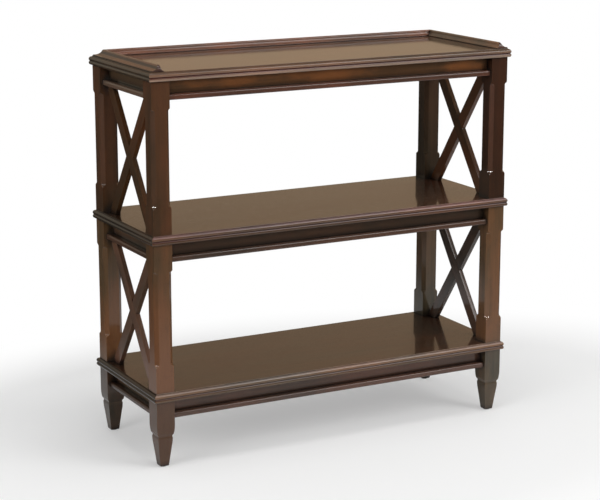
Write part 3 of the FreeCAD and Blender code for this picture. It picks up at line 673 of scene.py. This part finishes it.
def makeRoom():
    bm = bmesh.new()
    bmesh.ops.create_icosphere(bm, subdivisions=room["smoothness"], radius=room["radius"])
    cut = bmesh.ops.bisect_plane(bm, geom=bm.verts[:] + bm.edges[:] + bm.faces[:], plane_co=(0, 0, 0),
                                 plane_no=(0, 0, -1), clear_outer=True)
    rim = [e for e in cut["geom_cut"] if isinstance(e, bmesh.types.BMEdge)]
    bmesh.ops.contextual_create(bm, geom=rim)
    mesh = bpy.data.meshes.new("studioRoom")
    bm.to_mesh(mesh)
    bm.free()
    walls = bpy.data.objects.new("studioRoom", mesh)
    bpy.context.scene.collection.objects.link(walls)
    walls.location.z = room["above"]
    walls.visible_camera = walls.visible_diffuse = walls.visible_shadow = False
    walls.visible_transmission = walls.visible_volume_scatter = False
    material = bpy.data.materials.new("roomTones")
    material.use_nodes = True
    tree = material.node_tree
    tree.nodes.clear()
    coords = addNode(tree, "ShaderNodeTexCoord", (-1100, 0))
    parts = addNode(tree, "ShaderNodeSeparateXYZ", (-900, 200))
    plug(tree, coords.outputs["Object"], parts.inputs[0])
    apart = addNode(tree, "ShaderNodeVectorMath", (-1000, 0), operation="SUBTRACT")
    plug(tree, coords.outputs["Object"], apart.inputs[0])
    apart.inputs[1].default_value = room["sheetCentre"]
    far = addNode(tree, "ShaderNodeVectorMath", (-900, 0), operation="LENGTH")
    plug(tree, apart.outputs[0], far.inputs[0])

    rise = mathNode(tree, "DIVIDE", parts.outputs["Z"], room["radius"], (-700, 200))
    turn = remap(tree, rise, *room["wallTurn"], (-500, 200))
    wall = mixColour(tree, turn, room["wallLow"], room["wallHigh"], (-300, 200))
    across = mathNode(tree, "DIVIDE", parts.outputs["X"], room["radius"], (-700, 0))
    turn = remap(tree, across, *room["leftTurn"], (-500, 0))
    wall = mixColour(tree, turn, room["wallLeft"], wall, (-200, 100))
    forward = mathNode(tree, "MULTIPLY", parts.outputs["Y"], -1.0, (-700, 600))
    nearEdge = remap(tree, forward, *room["frontFrom"], (-500, 700))
    farEdge = remap(tree, forward, *room["frontTo"], (-500, 550), 1.0, 0.0)
    leftEdge = remap(tree, parts.outputs["X"], *room["frontLeft"], (-500, 850))
    front = mathNode(tree, "MULTIPLY", nearEdge, farEdge, (-300, 600))
    front = mathNode(tree, "MULTIPLY", front, leftEdge, (-100, 650))
    ground = mixColour(tree, front, room["darkFloor"], room["frontSheet"], (-200, 400))
    onWall = mathNode(tree, "GREATER_THAN", rise, room["wallFoot"], (-500, 400))
    glow = addNode(tree, "ShaderNodeEmission", (100, 200))
    plug(tree, mixColour(tree, onWall, ground, wall, (-100, 200)), glow.inputs["Color"])
    clear = addNode(tree, "ShaderNodeBsdfTransparent", (100, 0))
    mix = addNode(tree, "ShaderNodeMixShader", (300, 100))
    plug(tree, remap(tree, far.outputs["Value"], *room["sheetEdge"], (-500, -100)), mix.inputs[0])
    plug(tree, clear.outputs[0], mix.inputs[1])
    plug(tree, glow.outputs[0], mix.inputs[2])
    out = addNode(tree, "ShaderNodeOutputMaterial", (500, 100))
    plug(tree, mix.outputs[0], out.inputs["Surface"])
    mesh.materials.append(material)
    walls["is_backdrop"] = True


lamps = {
    "softboxAbove": {"at": (0.0, -0.4, 3.8), "size": (1.6, 1.2), "watts": 40},
    "softboxRight": {"at": (2.1, -2.9, 2.7), "size": (1.8, 2.0), "watts": 58},
    "softboxFront": {"at": (-0.1, -3.6, 1.6), "size": (1.4, 1.6), "watts": 18, "inPolish": False},
    "softboxLeft": {"at": (-3.4, -1.2, 1.5), "size": (1.6, 1.6), "watts": 34, "inPolish": False},
    "stripLeft": {"at": (-2.45, -1.55, 2.6), "size": (1.5, 0.3), "watts": 330, "onSurface": False,
                  "onlyOn": "Post"},
}
lampAim = Vector((0.0, 0.0, (cadLow[2] + cadHigh[2]) / 2))


# inPolish: mirrored in the lacquer; onSurface: lights the stained wood and the floor;
# onlyOn: shines on these pieces alone, for the glints at the stops of the posts' chamfers
def makeLamp(name, at, size, watts, inPolish=True, onSurface=True, onlyOn=None):
    data = bpy.data.lights.new(name, "AREA")
    data.shape = "RECTANGLE"
    data.size, data.size_y = size
    data.energy = watts
    lamp = bpy.data.objects.new(name, data)
    bpy.context.scene.collection.objects.link(lamp)
    lamp.location = at
    lamp.rotation_euler = (lampAim - Vector(at)).to_track_quat("-Z", "Y").to_euler()
    lamp.visible_glossy = inPolish
    lamp.visible_diffuse = onSurface
    if onlyOn:
        chosen = bpy.data.collections.new(f"{name}Pieces")
        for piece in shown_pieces():
            if onlyOn in piece.name:
                chosen.objects.link(piece)
        lamp.light_linking.receiver_collection = chosen


makeFloor()
makeAir()
makeRoom()
for name, lamp in lamps.items():
    makeLamp(name, **lamp)
print("studio lit")

# worked out from the table's corners in the photograph
camera = {"at": (-1.968, -3.661, 1.387), "yaw": 28.156, "pitch": 13.178, "focalPixels": 1823.9,
          "pictureWidth": 600, "sensor": 36.0}
cameraData = bpy.data.cameras.new("camera")
cameraData.sensor_width = camera["sensor"]
cameraData.lens = camera["focalPixels"] / camera["pictureWidth"] * camera["sensor"]
cameraObject = bpy.data.objects.new("camera", cameraData)
bpy.context.scene.collection.objects.link(cameraObject)
cameraObject.location = camera["at"]
cameraObject.rotation_euler = (quarter - math.radians(camera["pitch"]), 0, -math.radians(camera["yaw"]))
bpy.context.scene.camera = cameraObject
bpy.context.scene.view_settings.view_transform = "Standard"
print("camera set")

low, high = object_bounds()
